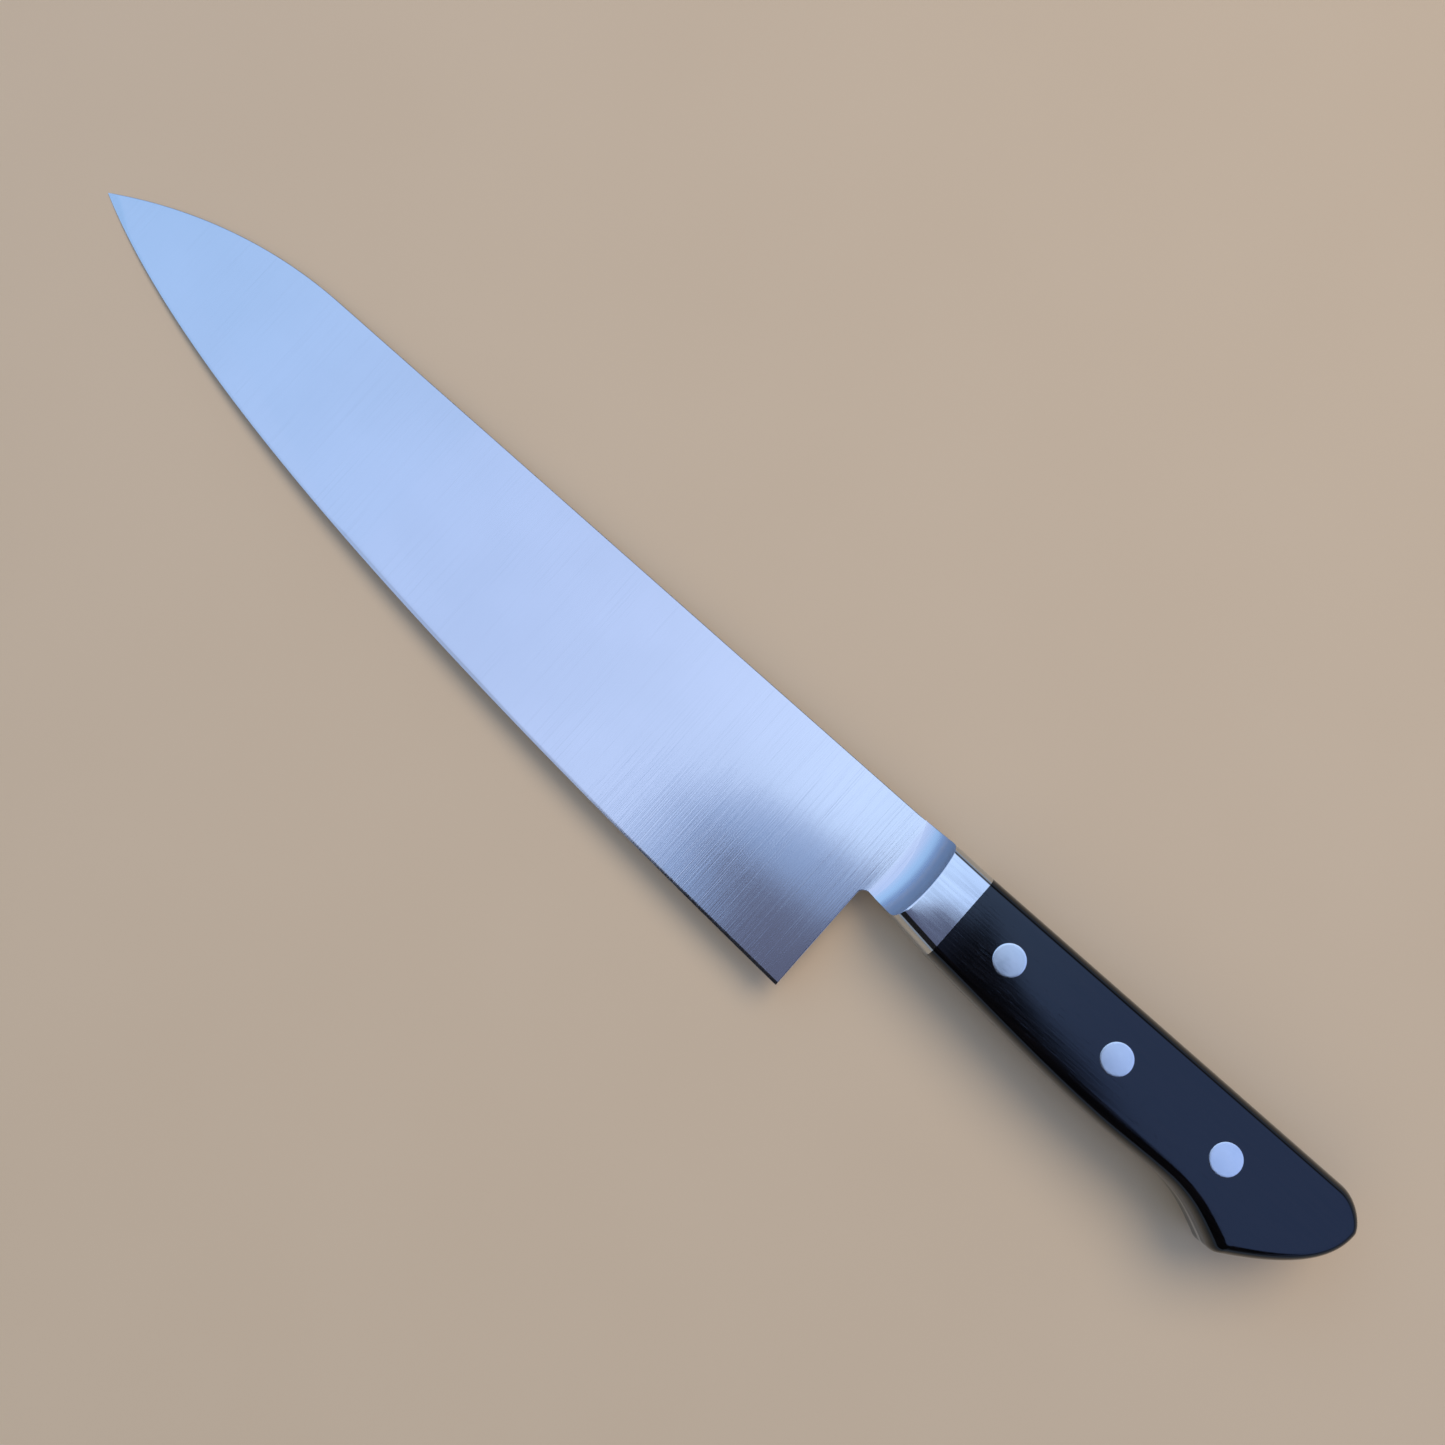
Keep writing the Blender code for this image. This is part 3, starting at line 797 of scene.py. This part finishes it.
def make_object():
    """All the knife's pieces, each standing for its CAD nodes."""
    steel, rivet_metal, wood = knife_steel(), rivet_steel(), black_wood()
    roll, row = roll_rule(), rivet_row_rule()
    pieces = [(make_blade(steel), "blade_steel", ["blade"])]
    for label, side, half in (("left", 1, "pin"), ("right", -1, "sleeve")):
        bolster = make_bolster(f"{label}_bolster", side, steel)
        scale = make_scale(f"{label}_scale", side, roll, wood)
        rivets = make_rivets(f"rivet_{half}s", side, row, rivet_metal)
        pieces += [
            (bolster, "bolster_steel", [f"bolster_{label}"]),
            (scale, "handle_wood", [f"scale_{label}"]),
            (rivets, "rivet_steel", [f"{place}_rivet_{half}" for place in ("front", "middle", "rear")]),
        ]
    for piece, slot, nodes in pieces:
        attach(piece, "root")
        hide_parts(*nodes)


# The knife tips forward until its point and the bolster's front corner touch the floor.
REST_SLOPE = 0.037
FLOOR_HALF = 3.0


def make_floor():
    """A plain pale floor, leaning as the knife leans against it."""
    made, tree, shader, place = new_material("pale_floor")
    soft = noise(tree, place, (60 * MM, 60 * MM, 60 * MM), 2)
    feed(
        tree,
        shader,
        Base_Color=mix(tree, soft.between(0.2, 0.8), (0.565, 0.44, 0.272, 1), (0.575, 0.45, 0.28, 1)),
        Roughness=0.6,
    )
    square = [(-FLOOR_HALF, -FLOOR_HALF), (FLOOR_HALF, -FLOOR_HALF)]
    square += [(FLOOR_HALF, FLOOR_HALF), (-FLOOR_HALF, FLOOR_HALF)]
    corners = [(x, y, REST_SLOPE * (CREST_X - x)) for x, y in square]
    floor = add_piece("floor", corners, [[0, 1, 2, 3]], made)


def make_card(name, outline, eye, glow):
    """A flat card beside the camera, seen only in what the steel and the wood mirror."""
    made = bpy.data.materials.new(name)
    made.use_nodes = True
    shader = made.node_tree.nodes["Principled BSDF"]
    black = (0.004, 0.004, 0.004, 1)
    feed(made.node_tree, shader, Base_Color=black, Roughness=1.0, Emission_Color=(*glow, 1))
    feed(made.node_tree, shader, Emission_Strength=1.0)
    corners = [eye + Vector(place) * MM for place in outline]
    card = add_piece(name, corners, [list(range(len(outline)))], made)
    card.visible_camera = False
    card.visible_shadow = False
    card.visible_diffuse = False


def make_cards(eye):
    """Cards of three tones: a black one reaching out on the edge side, and dark and dim ones overhead."""
    near = [(-24, -10), (10, -4), (40, -4), (56, 34), (72, 51), (88, 52), (88, -60), (-8, -60), (-5, -32)]
    far = [(86, 60), (98, 54), (112, 44), (130, 38), (169, 31), (420, -60), (900, -900)]
    far += [(-900, -900), (-110, -150), (-8, -58), (86, -58)]
    dim = [(-48, -70), (-46, -4), (-12, 22), (19, 26), (37, 26), (60, 36), (60, -70)]
    make_card("black_card", [(x, y, 0) for x, y in far], eye, (0.008, 0.008, 0.01))
    make_card("dark_card", [(x, y, 1) for x, y in near], eye, (0.142, 0.16, 0.27))
    make_card("dim_card", [(x, y, 2) for x, y in dim], eye, (0.365, 0.52, 0.88))


def make_sky():
    """A wide soft light overhead: cool, whitest over the handle, blue past the tip, dim at the sides."""
    world = bpy.data.worlds.new("soft_sky")
    bpy.context.scene.world = world
    world.use_nodes = True
    tree = world.node_tree
    way = Wire(tree).node("ShaderNodeTexCoord", output=0)
    split = way.node("ShaderNodeSeparateXYZ", {}, {0: way}).socket.node
    along, across, height = (Wire(tree, output) for output in split.outputs)
    share = along.between(-0.62, 0.5, 0, 1, "LINEAR")
    stops = [
        (0.0, (0.50, 0.81, 1.32)),
        (0.35, (0.72, 0.90, 1.38)),
        (0.52, (0.84, 1.02, 1.48)),
        (0.60, (0.98, 1.24, 1.70)),
        (0.75, (0.60, 0.78, 1.36)),
        (1.0, (0.50, 0.66, 1.25)),
    ]
    overhead = share.node("ShaderNodeValToRGB", {"stops": stops}, {0: share})
    sides = mix(tree, along.between(-0.3, -0.8), (0.10, 0.095, 0.10, 1), (0.26, 0.42, 0.80, 1))
    light = height.between(0.3, 0.75) * across.between(-0.55, -0.1) * across.between(0.78, 0.62)
    low = height.between(0.37, 0.29) * along.between(-0.75, -0.45)
    sides = mix(tree, low, sides, (0.36, 0.40, 0.48, 1))
    seen = Wire(tree).node("ShaderNodeLightPath", output=0)
    colour = mix(tree, seen, mix(tree, light, sides, overhead), (0.62, 0.60, 0.57, 1))
    tree.links.new(colour.socket, tree.nodes["Background"].inputs["Color"])


def make_lamp(name, place, size, energy):
    """A broad warm lamp that lights the floor and isn't mirrored in the steel."""
    lamp = bpy.data.lights.new(name, "AREA")
    lamp.shape = "DISK"
    lamp.size = size
    lamp.energy = energy
    lamp.color = (1.0, 0.82, 0.65)
    holder = bpy.data.objects.new(name, lamp)
    bpy.context.scene.collection.objects.link(holder)
    holder.location = place
    holder.rotation_euler = Vector(place).to_track_quat("Z", "Y").to_euler()
    holder.visible_glossy = False


def make_camera():
    """The camera, over the blade near its heel, with the knife across the frame. It gives back its place."""
    camera = bpy.data.cameras.new("camera")
    camera.sensor_width = 36
    camera.lens = 38.99
    camera.clip_start = 0.01
    holder = bpy.data.objects.new("camera", camera)
    bpy.context.scene.collection.objects.link(holder)
    holder.location = (CREST_X - 30.75 * MM, SPINE_Y - 36.7 * MM, MID_Z + 350.1 * MM)
    holder.rotation_euler = [math.radians(a) for a in (5.747, 0.8195, 41.827)]
    bpy.context.scene.camera = holder
    return holder.location


make_object()
make_floor()
make_cards(make_camera().copy())
make_sky()
make_lamp("far_lamp", (0.15, 0.9, 1.35), 1.1, 13.5)
make_lamp("near_lamp", (-0.1, -0.8, 1.1), 1.2, 2.2)
bpy.context.scene.view_settings.view_transform = "Standard"
